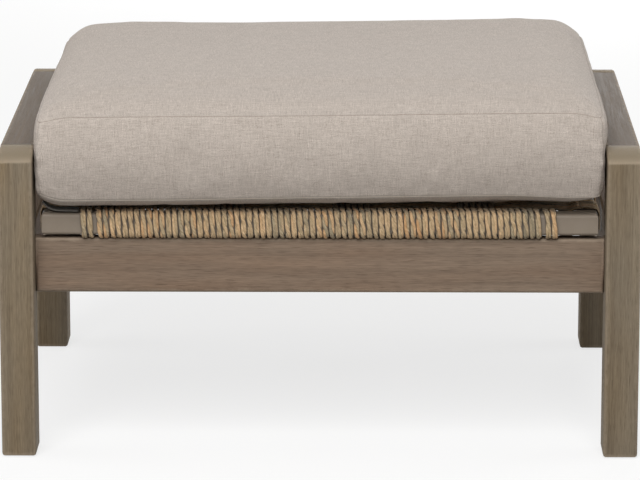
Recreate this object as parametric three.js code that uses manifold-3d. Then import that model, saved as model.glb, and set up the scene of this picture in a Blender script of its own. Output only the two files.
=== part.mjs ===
// Outdoor ottoman footstool: a timber frame with low arms, a tubular seat frame that drops in
// above the aprons, a cord seat that is wound tight along the front tube, and a box cushion.
// Millimetres, Z up, front towards -Y, origin on the floor under the middle of the frame.
import * as THREE from 'three';
import { mergeVertices } from 'three/addons/utils/BufferGeometryUtils.js';
import Module from 'manifold-3d';

const wasm = await Module();
wasm.setup();

// Clearances
const fit = 0.3; // between pieces that touch
const cutOverrun = 2; // how far a cutting tool runs past the wood or cloth

// Timber frame
const frameWidth = 740;
const frameDepth = 560;
const frameHeight = 362;
const legWidth = 40; // across the front
const legDepth = 50; // front to back
const timberEdge = 3; // rounded long edges
const legTopDrop = 14; // the outer top corner of a leg is a flat ellipse
const legTopFlat = 10; // level part of a leg's top, at its back
const armHeight = 45;
const sideRailThickness = 25;
const sideRailInset = 8; // from the outer face of the legs
const apronThickness = 22;
const apronHeight = 65;
const apronDrop = 106.5; // from the top of the arms down to the top of the apron
const apronEdge = 4;

// Mortises and tenons
const tenonThickness = 10;
const tenonShoulder = 9; // above and below a tenon
const tenonWall = 2.5; // wood left between two mortises in one leg
const railTenonLength = 22;

// Glides under the legs
const glideRadius = 13;
const glideRise = 1.5;
const glideStemRadius = 2.5;
const glideStemLength = 10;

// Tubular seat frame
const tubeSize = 25;
const tubeWall = 1.5;
const tubeCorner = 4;
const tubeRise = 4.2; // open slot between the apron and the tube above it
const tubeEndClearance = 8; // between the seat frame and the legs

// Tabs, brackets and screws
const tabWidth = 15;
const tabDrop = 45; // how far a tab reaches down behind the apron
const tabTopMargin = 4;
const tabScrewRise = 14; // from the lower end of the tab
const plateThickness = 3;
const plateCorner = 4;
const bracketArm = 36;
const bracketHeight = 44;
const bracketScrewInset = 10; // from the free end of an arm
const screwHeadRadius = 5;
const screwHeadHeight = 2.4;
const screwRadius = 2.2;
const screwLength = 15;

// Cord winding on the front tube
const cordWidth = 6.4;
const cordThickness = 3.4;
const cordPitch = 7.24;
const bareTube = 46.5; // bare tube outside the winding, at each end
const endPairTurns = 2;
const endPairGap = 4;

// Cord seat behind the winding
const cordsInBand = 5;
const warpSpacing = 70; // middle to middle, at least
const weftSpacing = 70;
const weftMargin = 1; // between the end of the warps, or the rear tube, and the nearest weft
const weftEase = 0.2; // the crossing bands are pressed a little thinner

// Cushion
const cushionFrontSetback = 0.5;
const cushionRearSetback = 7;
const cushionSide = 117; // from the underside to the top seam
const cushionCrown = 22; // above the top seam
const cushionRoll = 20; // rounded lower edge
const seamDraw = 5; // how far the top seam is pulled in
const drawIn = 4; // how far a side is pulled in halfway between its corners
const cushionCorner = 30;
const coverWall = 3; // cloth with its wadding

// Zip in the back of the cover
const zipMargin = 79.7; // from the end of the zip to the end of the cushion
const zipWidth = 6;
const sliderLength = 11;
const sliderWidth = 8;
const sliderThickness = 2;
const sliderEndMargin = 15;
const earThickness = 1;
const earGap = 4.2;
const axleRadius = 0.7;
const axleStandoff = 2;
const pullWidth = 3.4;
const pullLength = 24;
const pullThickness = 1.2;
const pullEyeRadius = 1.7;

// Fastening straps under the front corners of the cushion
const strapWidth = 20;
const strapThickness = 1.2;
const strapLength = 46;
const strapHang = 25; // the part of the right strap that hangs down

// Worked out from the sizes above
const frontY = -frameDepth / 2;
const innerHalf = frameWidth / 2 - legWidth; // inner face of a leg
const legBackY = frontY + legDepth;
const apronTop = frameHeight - apronDrop;
const apronBottom = apronTop - apronHeight;
const tubeBottom = apronTop + tubeRise;
const tubeTop = tubeBottom + tubeSize;
const tubeHalf = innerHalf - tubeEndClearance;
const tubeFrontY = legBackY - tubeSize; // tube and apron are flush at the back of the leg
const deckBottom = tubeTop + fit;
const deckTop = deckBottom + cordThickness;
const cushionBottom = deckTop + fit;
const holeRadius = screwRadius + fit;
const sideRailMiddle = frameWidth / 2 - sideRailInset - sideRailThickness / 2;
const apronTenonLength = sideRailMiddle - tenonThickness / 2 - tenonWall - innerHalf;

// Steps round the curves
const roundSteps = 12;
const edgeSteps = 2;
const cornerSteps = 3;
const turnSteps = 8;
const cushionCornerSteps = 2;

const woodColour = { color: 0x7b6d5b, roughness: 0.75, metalness: 0 };
const armColour = { color: 0x83796c, roughness: 0.75, metalness: 0 };
const tubeColour = { color: 0x867a6c, roughness: 0.5, metalness: 0.3 };
const cordColour = { color: 0xa98f6c, roughness: 0.85, metalness: 0 };
const clothColour = { color: 0xb8aa9c, roughness: 0.95, metalness: 0 };
const foamColour = { color: 0xe6dfc8, roughness: 0.9, metalness: 0 };
const strapColour = { color: 0x9c958c, roughness: 0.9, metalness: 0 };
const steelColour = { color: 0x8d8f90, roughness: 0.4, metalness: 0.9 };
const plasticColour = { color: 0x2f2d2a, roughness: 0.5, metalness: 0 };
const zipColour = { color: 0x8f867a, roughness: 0.6, metalness: 0 };

const alongX = new THREE.Vector3(1, 0, 0);
const alongY = new THREE.Vector3(0, 1, 0);
const alongZ = new THREE.Vector3(0, 0, 1);
const backToFront = new THREE.Vector3(0, -1, 0);

// Merges equal corners and leaves out triangles that have shrunk to a line, as at the pole of a
// turned shape.
function closed(geometry) {
  const bare = geometry.clone();
  bare.deleteAttribute('normal');
  bare.deleteAttribute('uv');
  const merged = mergeVertices(bare);
  const corners = merged.index.array;
  const kept = [];
  for (let i = 0; i < corners.length; i += 3) {
    const [a, b, c] = [corners[i], corners[i + 1], corners[i + 2]];
    if (a !== b && b !== c && c !== a) kept.push(a, b, c);
  }
  merged.setIndex(kept);
  return merged;
}

function solidOf(geometry) {
  const mesh = closed(geometry);
  return new wasm.Manifold(new wasm.Mesh({
    numProp: 3,
    vertProperties: new Float32Array(mesh.attributes.position.array),
    triVerts: new Uint32Array(mesh.index.array),
  }));
}

function meshOf(positions, triangles) {
  const geometry = new THREE.BufferGeometry();
  geometry.setAttribute('position', new THREE.Float32BufferAttribute(positions, 3));
  geometry.setIndex(triangles);
  return geometry;
}

function geometryOf(solid) {
  const mesh = solid.getMesh();
  return meshOf(mesh.vertProperties, [...mesh.triVerts]);
}

function join(...geometries) {
  return geometryOf(geometries.map(solidOf).reduce((all, next) => all.add(next)));
}

function cut(geometry, ...tools) {
  return geometryOf(tools.map(solidOf).reduce((left, tool) => left.subtract(tool), solidOf(geometry)));
}

function block([x0, x1], [y0, y1], [z0, z1]) {
  const geometry = new THREE.BoxGeometry(x1 - x0, y1 - y0, z1 - z0);
  return geometry.translate((x0 + x1) / 2, (y0 + y1) / 2, (z0 + z1) / 2);
}

// A round bar from one point to another, for holes and pins along any axis.
function bar(radius, from, to) {
  const start = new THREE.Vector3(...from);
  const run = new THREE.Vector3(...to).sub(start);
  const geometry = new THREE.CylinderGeometry(radius, radius, run.length(), roundSteps);
  const turn = new THREE.Quaternion().setFromUnitVectors(alongY, run.clone().normalize());
  return geometry.applyQuaternion(turn).translate(...start.addScaledVector(run, 1 / 2).toArray());
}

// Lays an outline drawn in two directions u and v into the frame and extrudes it along w.
function lay(geometry, u, v, w) {
  return geometry.applyMatrix4(new THREE.Matrix4().makeBasis(u, v, w));
}

function extrude(outline, depth, curveSegments = cornerSteps) {
  return new THREE.ExtrudeGeometry(outline, { depth, bevelEnabled: false, curveSegments });
}

// Extrudes an outline with both end edges rounded, within the given depth.
function extrudeRounded(outline, depth, radius, curveSegments) {
  const geometry = new THREE.ExtrudeGeometry(outline, {
    depth: depth - 2 * radius,
    bevelThickness: radius,
    bevelSize: radius,
    bevelOffset: -radius,
    bevelSegments: edgeSteps,
    curveSegments,
  });
  return geometry.translate(0, 0, radius);
}

function rectangle(u0, u1, v0, v1) {
  const outline = new THREE.Shape();
  outline.moveTo(u0, v0);
  outline.lineTo(u1, v0);
  outline.lineTo(u1, v1);
  outline.lineTo(u0, v1);
  outline.closePath();
  return outline;
}

function roundedRectangle(u0, u1, v0, v1, radius, outline = new THREE.Shape()) {
  outline.moveTo(u0 + radius, v0);
  outline.lineTo(u1 - radius, v0);
  outline.absarc(u1 - radius, v0 + radius, radius, -Math.PI / 2, 0);
  outline.lineTo(u1, v1 - radius);
  outline.absarc(u1 - radius, v1 - radius, radius, 0, Math.PI / 2);
  outline.lineTo(u0 + radius, v1);
  outline.absarc(u0 + radius, v1 - radius, radius, Math.PI / 2, Math.PI);
  outline.lineTo(u0, v0 + radius);
  outline.absarc(u0 + radius, v0 + radius, radius, Math.PI, 1.5 * Math.PI);
  outline.closePath();
  return outline;
}

function piece(name, geometry, finish) {
  const mesh = new THREE.Mesh(closed(geometry), new THREE.MeshStandardMaterial(finish));
  mesh.name = name;
  return mesh;
}

// Leg, drawn as it stands at the front: x from its own middle, y from its front face, z from the floor.
// innerSide is 1 where the apron joins on the +x side and -1 on the other.
function legGeometry(innerSide) {
  const reach = legDepth - legTopFlat;
  const outline = new THREE.Shape();
  outline.moveTo(0, glideRise);
  outline.lineTo(legDepth, glideRise);
  outline.lineTo(legDepth, frameHeight);
  outline.lineTo(reach, frameHeight);
  outline.absellipse(reach, frameHeight - legTopDrop, reach, legTopDrop, Math.PI / 2, Math.PI);
  outline.closePath();
  const body = extrudeRounded(outline, legWidth, timberEdge, 2 * cornerSteps);
  lay(body, alongY, alongZ, alongX).translate(-legWidth / 2, 0, 0);

  const inner = innerSide * legWidth / 2;
  const apronMiddle = legDepth - apronThickness / 2;
  const apronMortise = block(
    [inner - innerSide * (apronTenonLength + fit), inner + innerSide * cutOverrun].sort((a, b) => a - b),
    [apronMiddle - tenonThickness / 2 - fit, apronMiddle + tenonThickness / 2 + fit],
    [apronBottom + tenonShoulder - fit, apronTop - tenonShoulder + fit],
  );
  const railMiddle = -innerSide * (sideRailMiddle - (frameWidth / 2 - legWidth / 2));
  const railMortise = block(
    [railMiddle - tenonThickness / 2 - fit, railMiddle + tenonThickness / 2 + fit],
    [legDepth - railTenonLength - fit, legDepth + cutOverrun],
    [apronBottom + tenonShoulder - fit, apronTop - tenonShoulder + fit],
  );
  const armMortise = block(
    [-tenonThickness / 2 - fit, tenonThickness / 2 + fit],
    [legDepth - railTenonLength - fit, legDepth + cutOverrun],
    [frameHeight - armHeight + tenonShoulder - fit, frameHeight - tenonShoulder + fit],
  );
  const stemHole = bar(
    glideStemRadius + fit,
    [0, legDepth / 2, glideRise - cutOverrun],
    [0, legDepth / 2, glideStemLength + fit],
  );
  return cut(body, apronMortise, railMortise, armMortise, stemHole);
}

// Glide: a domed disc with a stem that is driven into the foot of the leg.
function glideGeometry() {
  const top = glideRise - fit;
  const profile = [
    [0, 0],
    [glideRadius - top, 0],
    [glideRadius, top / 2],
    [glideRadius, top],
    [glideStemRadius, top],
    [glideStemRadius, glideStemLength],
    [0, glideStemLength],
  ];
  const geometry = new THREE.LatheGeometry(profile.map(([r, h]) => new THREE.Vector2(r, h)), roundSteps);
  return geometry.rotateX(Math.PI / 2);
}

// Rail that runs front to back between two legs, with a tenon at each end. x from its middle.
function railGeometry(width, bottom, top) {
  const half = frameDepth / 2 - legDepth - fit;
  const profile = roundedRectangle(-width / 2, width / 2, bottom, top, timberEdge);
  const body = lay(extrude(profile, 2 * half), alongX, alongZ, backToFront).translate(0, half, 0);
  const tenon = block(
    [-tenonThickness / 2, tenonThickness / 2],
    [-half - railTenonLength, half + railTenonLength],
    [bottom + tenonShoulder, top - tenonShoulder],
  );
  return join(body, tenon);
}

// Apron across the front, all its edges rounded, with the pilot holes for its screws.
// y runs from its front face.
function apronGeometry() {
  const half = innerHalf - fit;
  const face = rectangle(-half, half, apronBottom, apronTop);
  const body = lay(extrudeRounded(face, apronThickness, apronEdge), alongX, alongZ, backToFront);
  body.translate(0, apronThickness, 0);
  const tenon = block(
    [-half - apronTenonLength, half + apronTenonLength],
    [apronThickness / 2 - tenonThickness / 2, apronThickness / 2 + tenonThickness / 2],
    [apronBottom + tenonShoulder, apronTop - tenonShoulder],
  );
  const holeEnd = apronThickness - screwLength + plateThickness;
  const hole = (x, z) => bar(holeRadius, [x, holeEnd, z], [x, apronThickness + cutOverrun, z]);
  const holes = [-1, 1].flatMap((side) => [
    hole(side * tabMiddle, tabScrewZ),
    hole(side * bracketScrewX, bracketZ),
  ]);
  return cut(join(body, tenon), ...holes);
}

// Square tube with both ends mitred for a frame corner. Its outer face is y = 0 and it runs along x.
function mitredTubeGeometry(length) {
  const profile = roundedRectangle(0, tubeSize, 0, tubeSize, tubeCorner);
  const bore = [tubeWall, tubeSize - tubeWall, tubeWall, tubeSize - tubeWall, tubeCorner - tubeWall];
  profile.holes.push(roundedRectangle(...bore, new THREE.Path()));
  const geometry = lay(extrude(profile, length), alongY, alongZ, alongX).translate(-length / 2, 0, 0);
  const corners = geometry.attributes.position;
  for (let i = 0; i < corners.count; i += 1) {
    const side = Math.sign(corners.getX(i));
    corners.setX(i, side * (length / 2 - corners.getY(i) - fit / Math.SQRT2));
  }
  return geometry;
}

// Places of the tabs and brackets behind an apron
const tabBottom = apronTop - tabDrop;
const tabScrewZ = tabBottom + tabScrewRise;
const tabMiddle = (tubeHalf - tubeSize + tubeHalf - bareTube) / 2;
const bracketZ = (apronBottom + apronTop) / 2;
const bracketCornerX = frameWidth / 2 - sideRailInset - sideRailThickness - fit;
const bracketScrewX = bracketCornerX - bracketArm + bracketScrewInset;
const bracketScrewY = bracketArm - bracketScrewInset;
const plateY = legBackY + fit; // front face of the plates behind an apron

// Tab: a flat steel plate welded to the back of the tube and screwed to the back of the apron.
function tabGeometry() {
  const top = tubeTop - tabTopMargin;
  const face = roundedRectangle(-tabWidth / 2, tabWidth / 2, tabBottom, top, plateCorner);
  const plate = lay(extrude(face, plateThickness), alongX, alongZ, backToFront);
  plate.translate(0, plateThickness, 0);
  const holeEnd = [0, plateThickness + cutOverrun, tabScrewZ];
  return cut(plate, bar(holeRadius, [0, -cutOverrun, tabScrewZ], holeEnd));
}

// Corner bracket: an angle plate with one arm behind the apron and one on the side rail.
// It is drawn for the left corner, its outer corner at x = 0, y = 0.
function bracketGeometry(side) {
  const arm = bracketArm;
  const wall = plateThickness;
  const outline = new THREE.Shape();
  const corners = [[0, 0], [arm, 0], [arm, wall], [wall, wall], [wall, arm], [0, arm]];
  corners.forEach(([x, y], i) => (i === 0 ? outline.moveTo(x, y) : outline.lineTo(-side * x, y)));
  outline.closePath();
  const plate = extrude(outline, bracketHeight).translate(0, 0, bracketZ - bracketHeight / 2);
  const holeFrom = -cutOverrun;
  const holeTo = wall + cutOverrun;
  const apronHoleX = -side * (arm - bracketScrewInset);
  return cut(
    plate,
    bar(holeRadius, [apronHoleX, holeFrom, bracketZ], [apronHoleX, holeTo, bracketZ]),
    bar(holeRadius, [-side * holeFrom, bracketScrewY, bracketZ], [-side * holeTo, bracketScrewY, bracketZ]),
  );
}

// Dome-head screw along z, its shank pointing down from z = 0.
function screwGeometry() {
  const profile = [
    [0, -screwLength],
    [screwRadius / 2, -screwLength],
    [screwRadius, -screwLength + screwRadius],
    [screwRadius, 0],
    [screwHeadRadius, 0],
    [screwHeadRadius, screwHeadHeight / 3],
    [screwHeadRadius / 2, screwHeadHeight],
    [0, screwHeadHeight],
  ];
  const geometry = new THREE.LatheGeometry(profile.map(([r, h]) => new THREE.Vector2(r, h)), roundSteps);
  return geometry.rotateX(Math.PI / 2);
}

// Left side rail, with one pilot hole near each end for a bracket screw in its inner face.
function sideRailGeometry() {
  const body = railGeometry(sideRailThickness, apronBottom, apronTop);
  const face = sideRailThickness / 2;
  const holeEnd = face - screwLength + plateThickness;
  const holes = [-1, 1].map((end) => {
    const y = end * (frameDepth / 2 - legDepth - fit - bracketScrewY);
    return bar(holeRadius, [face + cutOverrun, y, bracketZ], [holeEnd, y, bracketZ]);
  });
  return cut(body, ...holes);
}

// Everything that belongs to one end of the frame, front or rear. The rear is the same, turned half round.
function endOfFrame(end, leftName, rightName) {
  const group = new THREE.Group();
  for (const [side, name] of [[-1, leftName], [1, rightName]]) {
    const leg = piece(`${end}_${name}_leg`, legGeometry(-side), woodColour);
    leg.position.set(side * (frameWidth / 2 - legWidth / 2), frontY, 0);
    const glide = piece(`${end}_${name}_foot_glide`, glideGeometry(), plasticColour);
    glide.position.set(leg.position.x, frontY + legDepth / 2, 0);
    const tab = piece(`${end}_${name}_seat_tab`, tabGeometry(), tubeColour);
    tab.position.set(side * tabMiddle, plateY, 0);
    const bracket = piece(`${end}_${name}_corner_bracket`, bracketGeometry(side), steelColour);
    bracket.position.set(side * bracketCornerX, plateY, 0);
    group.add(leg, glide, tab, bracket);

    const backOfPlate = plateY + plateThickness + fit;
    const tabScrew = piece(`${end}_${name}_tab_screw`, screwGeometry(), steelColour);
    tabScrew.position.set(side * tabMiddle, backOfPlate, tabScrewZ);
    tabScrew.rotation.x = -Math.PI / 2;
    const apronScrew = piece(`${end}_${name}_apron_screw`, screwGeometry(), steelColour);
    apronScrew.position.set(side * bracketScrewX, backOfPlate, bracketZ);
    apronScrew.rotation.x = -Math.PI / 2;
    const railScrew = piece(`${end}_${name}_rail_screw`, screwGeometry(), steelColour);
    const railScrewX = bracketCornerX - plateThickness - fit;
    railScrew.position.set(side * railScrewX, plateY + bracketScrewY, bracketZ);
    railScrew.rotation.y = -side * Math.PI / 2;
    group.add(tabScrew, apronScrew, railScrew);
  }
  const apron = piece(`${end}_apron`, apronGeometry(), woodColour);
  apron.position.set(0, legBackY - apronThickness, 0);
  const tube = piece(`${end}_seat_tube`, mitredTubeGeometry(2 * tubeHalf), tubeColour);
  tube.position.set(0, tubeFrontY, tubeBottom);
  const sideTube = piece(`${leftName}_seat_tube`, mitredTubeGeometry(-2 * tubeFrontY), tubeColour);
  sideTube.rotation.z = -Math.PI / 2;
  sideTube.position.set(-tubeHalf, 0, tubeBottom);
  const sideRail = piece(`${leftName}_side_rail`, sideRailGeometry(), woodColour);
  sideRail.position.x = -sideRailMiddle;
  const armBottom = frameHeight - armHeight;
  const arm = piece(`${leftName}_arm_rail`, railGeometry(legWidth, armBottom, frameHeight), armColour);
  arm.position.x = -(frameWidth / 2 - legWidth / 2);
  group.add(apron, tube, sideTube, sideRail, arm);
  return group;
}

// The path of a cord turn round the square tube has eight corners. offset is the height above the cord's
// inner side. Returns [forward, up] from the tube's middle, starting at the top of the front face.
function turnCorner(step, offset) {
  const half = tubeSize / 2;
  const beyond = fit + offset;
  const flat = half - tubeCorner + (Math.SQRT2 - 1) * (tubeCorner + beyond);
  const out = half + beyond;
  const corners = [
    [out, flat], [out, -flat], [flat, -out], [-flat, -out],
    [-out, -flat], [-out, flat], [-flat, out], [flat, out],
  ];
  return corners[step];
}

// One unbroken cord round the front tube: a pair of turns, a gap, the long run, a gap and the last pair.
function windingGeometry() {
  const span = 2 * (tubeHalf - bareTube);
  const runTurns = Math.floor((span - 2 * endPairGap) / cordPitch) - 2 * endPairTurns;
  const turns = runTurns + 2 * endPairTurns;
  const gapStarts = [endPairTurns, endPairTurns + runTurns];
  const sides = 5;
  const flatShare = Math.cos(Math.PI / sides);
  const section = Array.from({ length: sides }, (_, i) => {
    const angle = (2 * Math.PI * i) / sides + Math.PI / 2;
    const across = Math.cos(angle) / Math.cos(Math.PI / (2 * sides));
    return [across * cordWidth / 2, cordThickness * (Math.sin(angle) + flatShare) / (1 + flatShare)];
  });
  const firstStep = -2; // the cord comes in over the top of the tube
  const lastStep = turns * turnSteps - 3; // and goes out up its back
  const middleStep = (firstStep + lastStep) / 2;
  const points = [];
  for (let count = firstStep; count <= lastStep; count += 1) {
    const step = ((count % turnSteps) + turnSteps) % turnSteps;
    const turn = Math.floor(count / turnSteps);
    let x = ((count - middleStep) / turnSteps) * cordPitch - endPairGap;
    for (const gapStart of gapStarts) {
      const lastTurnShare = Math.max(0, step - 1) / (turnSteps - 2);
      x += endPairGap * (turn + 1 === gapStart ? lastTurnShare : Number(turn >= gapStart));
    }
    for (const [across, offset] of section) {
      const [forward, up] = turnCorner(step, offset);
      points.push([x + across, -forward, up]);
    }
  }
  printLeastGap(points, sides);
  const rings = points.length / sides;
  const index = [];
  for (let ring = 0; ring < rings - 1; ring += 1) {
    for (let i = 0; i < sides; i += 1) {
      const a = ring * sides + i;
      const b = ring * sides + ((i + 1) % sides);
      index.push(a, b, a + sides, b, b + sides, a + sides);
    }
  }
  for (let i = 1; i < sides - 1; i += 1) {
    const last = (rings - 1) * sides;
    index.push(0, i + 1, i, last, last + i, last + i + 1);
  }
  return meshOf(points.flat(), index);
}

// Prints the least distance between points of the winding that lie about a turn apart.
function printLeastGap(points, sides) {
  const reach = 3 * turnSteps * sides;
  const near = (turnSteps / 2) * sides;
  let least = Infinity;
  for (let i = 0; i < points.length; i += 1) {
    for (let j = i + near; j < Math.min(points.length, i + reach); j += 1) {
      const gap = Math.hypot(...points[i].map((value, axis) => value - points[j][axis]));
      least = Math.min(least, gap);
    }
  }
  console.log(`least gap of the cord winding to itself: ${least.toFixed(2)} mm`);
}

// A flat band of two cords that lies on the tubes and hooks down behind and under one or both of them.
// from and to are the band's free end or the outer face of the tube that it hooks round.
function hookOutline(from, to, hookFrom, ease) {
  const near = fit + ease;
  const reach = fit + cordThickness - ease;
  const under = tubeSize / 2;
  const hookAt = (face, side) => [
    [face + side * reach, tubeTop + reach],
    [face + side * reach, tubeBottom - reach],
    [face - side * under, tubeBottom - reach],
    [face - side * under, tubeBottom - near],
    [face + side * near, tubeBottom - near],
    [face + side * near, tubeTop + near],
  ];
  const points = hookFrom ? hookAt(from, -1).reverse() : [[from, tubeTop + near], [from, tubeTop + reach]];
  points.push(...hookAt(to, 1));
  const outline = new THREE.Shape();
  points.forEach(([u, v], i) => (i === 0 ? outline.moveTo(u, v) : outline.lineTo(u, v)));
  outline.closePath();
  return outline;
}

// Cord seat: flat bands of cord from the winding to the rear tube, crossed by bands between the side tubes.
function deckGeometry() {
  const bandWidth = cordsInBand * cordPitch;
  const start = legBackY + fit + cordThickness + fit;
  const warpSpan = 2 * (tubeHalf - bareTube) - bandWidth;
  const warps = Math.floor(warpSpan / warpSpacing) + 1;
  const bands = [];
  for (let i = 0; i < warps; i += 1) {
    const x = warpSpan * (i / (warps - 1) - 1 / 2);
    const outline = hookOutline(start, -tubeFrontY, false, 0);
    const band = lay(extrude(outline, bandWidth), alongY, alongZ, alongX);
    bands.push(band.translate(x - bandWidth / 2, 0, 0));
  }
  const firstWeft = start + weftMargin;
  const weftSpan = -legBackY - weftMargin - bandWidth - firstWeft;
  const wefts = Math.floor(weftSpan / weftSpacing) + 1;
  for (let i = 0; i < wefts; i += 1) {
    const y = firstWeft + (weftSpan * i) / (wefts - 1);
    const outline = hookOutline(-tubeHalf, tubeHalf, true, weftEase);
    const band = lay(extrude(outline, bandWidth), alongX, alongZ, backToFront);
    bands.push(band.translate(0, y + bandWidth, 0));
  }
  return join(...bands);
}

// Cushion: rings of points from the underside up to the crown. inset shrinks the whole form evenly, for
// the hollow of the cover and for the foam.
const cushionFront = frontY + cushionFrontSetback;
const cushionRear = frameDepth / 2 - cushionRearSetback;
const seamZ = cushionBottom + cushionSide;
const sideShares = [1 / 4, 1 / 2, 3 / 4]; // places between two corners of a ring

function cushionRing(pull, z) {
  const halfX = innerHalf - fit - pull;
  const front = cushionFront + pull;
  const rear = cushionRear - pull;
  const radius = Math.max(cushionCorner - pull / 2, cushionCorner / 3);
  const corners = [
    [halfX - radius, rear - radius, 0],
    [-halfX + radius, rear - radius, 1],
    [-halfX + radius, front + radius, 2],
    [halfX - radius, front + radius, 3],
  ];
  const points = [];
  corners.forEach(([x, y, quarter], i) => {
    for (let step = 0; step <= cushionCornerSteps; step += 1) {
      const angle = (Math.PI / 2) * (quarter + step / cushionCornerSteps);
      points.push([x + radius * Math.cos(angle), y + radius * Math.sin(angle), z]);
    }
    const [startX, startY] = points[points.length - 1];
    const next = corners[(i + 1) % corners.length];
    const nextAngle = (Math.PI / 2) * (quarter + 1);
    const endX = next[0] + radius * Math.cos(nextAngle);
    const endY = next[1] + radius * Math.sin(nextAngle);
    const inward = quarter === 0 ? 0 : drawIn; // the zipped back stays straight
    for (const share of sideShares) {
      const pulled = inward * Math.sin(Math.PI * share) ** 2;
      points.push([
        startX + (endX - startX) * share - pulled * Math.cos(nextAngle),
        startY + (endY - startY) * share - pulled * Math.sin(nextAngle),
        z,
      ]);
    }
  });
  return points;
}

function cushionGeometry(inset) {
  const rollShares = [[1, 0], [0.4, 0.15], [0.12, 0.5]];
  const crownShares = [[0.05, 0.38], [0.13, 0.72], [0.3, 0.93], [0.65, 1]];
  const riseShares = [0.35, 0.8];
  const depth = (cushionRear - cushionFront) / 2;
  const rings = [];
  for (const [pullShare, rise] of rollShares) {
    const lift = inset * (1 - rise);
    rings.push(cushionRing(inset + cushionRoll * pullShare, cushionBottom + lift + cushionRoll * rise));
  }
  for (const share of riseShares) rings.push(cushionRing(inset, cushionBottom + cushionSide * share));
  rings.push(cushionRing(inset + seamDraw / 2, seamZ - inset - seamDraw));
  rings.push(cushionRing(inset + 2 * seamDraw, seamZ - inset + seamDraw / 2));
  for (const [pullShare, rise] of crownShares) {
    const pull = inset + 2 * seamDraw + (depth - cushionCorner - 2 * seamDraw) * pullShare;
    rings.push(cushionRing(pull, seamZ - inset + seamDraw / 2 + (cushionCrown - seamDraw / 2) * rise));
  }
  const count = rings[0].length;
  const index = [];
  for (let ring = 0; ring < rings.length - 1; ring += 1) {
    for (let i = 0; i < count; i += 1) {
      const a = ring * count + i;
      const b = ring * count + ((i + 1) % count);
      index.push(a, b, a + count, b, b + count, a + count);
    }
  }
  const last = (rings.length - 1) * count;
  const bottomMiddle = rings.length * count;
  for (let i = 0; i < count; i += 1) {
    const next = (i + 1) % count;
    index.push(bottomMiddle, next, i, bottomMiddle + 1, last + i, last + next);
  }
  const middleY = (cushionFront + cushionRear) / 2;
  rings.push([[0, middleY, rings[0][0][2]], [0, middleY, rings[rings.length - 1][0][2]]]);
  return meshOf(rings.flat(2), index);
}

// Cover: the cushion's form, hollow for the foam, with a slot along the back for the zip.
const zipLength = 2 * (innerHalf - fit - zipMargin);
const zipZ = cushionBottom + cushionSide / 2;

function coverGeometry() {
  const slot = block(
    [-zipLength / 2 - fit, zipLength / 2 + fit],
    [cushionRear - coverWall - cutOverrun, cushionRear + cutOverrun],
    [zipZ - zipWidth / 2 - fit, zipZ + zipWidth / 2 + fit],
  );
  return cut(cushionGeometry(0), cushionGeometry(coverWall), slot);
}

function zipChainGeometry() {
  return block([-zipLength / 2, zipLength / 2], [-coverWall, 0], [-zipWidth / 2, zipWidth / 2]);
}

// Slider: a plate on the zip with two ears and an axle for the pull. y is its distance from the zip.
const axleY = fit + sliderThickness + axleStandoff;

function sliderGeometry() {
  const [halfLength, halfWidth] = [sliderLength / 2, sliderWidth / 2];
  const outline = roundedRectangle(-halfLength, halfLength, -halfWidth, halfWidth, sliderThickness);
  const plate = lay(extrude(outline, sliderThickness), alongX, alongZ, backToFront);
  plate.translate(0, fit + sliderThickness, 0);
  const earHalf = axleRadius + earThickness;
  const ears = [-1, 1].map((side) => {
    const x = side * (earGap / 2 + earThickness / 2);
    const reach = [fit + sliderThickness / 2, axleY + earHalf];
    return block([x - earThickness / 2, x + earThickness / 2], reach, [-earHalf, earHalf]);
  });
  const axleHalf = (earGap + earThickness) / 2;
  return join(plate, ...ears, bar(axleRadius, [-axleHalf, axleY, 0], [axleHalf, axleY, 0]));
}

// Pull: an eye round the axle with a flat tail that hangs down. The axle is its origin.
function pullGeometry() {
  const half = pullThickness / 2;
  const tailAngle = Math.asin(half / pullEyeRadius);
  const outline = new THREE.Shape();
  outline.moveTo(-half, -pullLength);
  outline.lineTo(half, -pullLength);
  outline.absarc(0, 0, pullEyeRadius, -Math.PI / 2 + tailAngle, 1.5 * Math.PI - tailAngle);
  outline.closePath();
  const eye = new THREE.Path();
  eye.absarc(0, 0, axleRadius + fit, 0, 2 * Math.PI);
  outline.holes.push(eye);
  const pull = lay(extrude(outline, pullWidth, roundSteps), alongY, alongZ, alongX);
  return pull.translate(-pullWidth / 2, 0, 0);
}

// Straps: the left one lies flat under the cushion, the right one bends down past the end of the tube.
// x runs outwards from the inner end of the strap, which is sewn to the underside of the cushion.
function strapGeometry(hang) {
  const flat = strapLength - hang;
  const band = block([0, flat], [-strapWidth / 2, strapWidth / 2], [-strapThickness, 0]);
  if (hang === 0) return band;
  const tail = block([flat - strapThickness, flat], [-strapWidth / 2, strapWidth / 2], [-hang, 0]);
  return join(band, tail);
}

const ottoman = new THREE.Group();
ottoman.add(endOfFrame('front', 'left', 'right'));
const rearEnd = endOfFrame('rear', 'right', 'left');
rearEnd.rotation.z = Math.PI;
ottoman.add(rearEnd);

const winding = piece('front_cord_winding', windingGeometry(), cordColour);
winding.position.set(0, tubeFrontY + tubeSize / 2, tubeBottom + tubeSize / 2);
ottoman.add(winding, piece('cord_seat', deckGeometry(), cordColour));

const cushion = new THREE.Group();
const foam = piece('cushion_foam', cushionGeometry(coverWall + fit), foamColour);
const chain = piece('zip_chain', zipChainGeometry(), zipColour);
chain.position.set(0, cushionRear, zipZ);
const slider = piece('zip_slider', sliderGeometry(), zipColour);
slider.position.set(-zipLength / 2 + sliderEndMargin, cushionRear, zipZ);
const pull = piece('zip_pull', pullGeometry(), zipColour);
pull.position.set(slider.position.x, cushionRear + axleY, zipZ);
cushion.add(piece('cushion_cover', coverGeometry(), clothColour), foam, chain, slider, pull);

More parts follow.
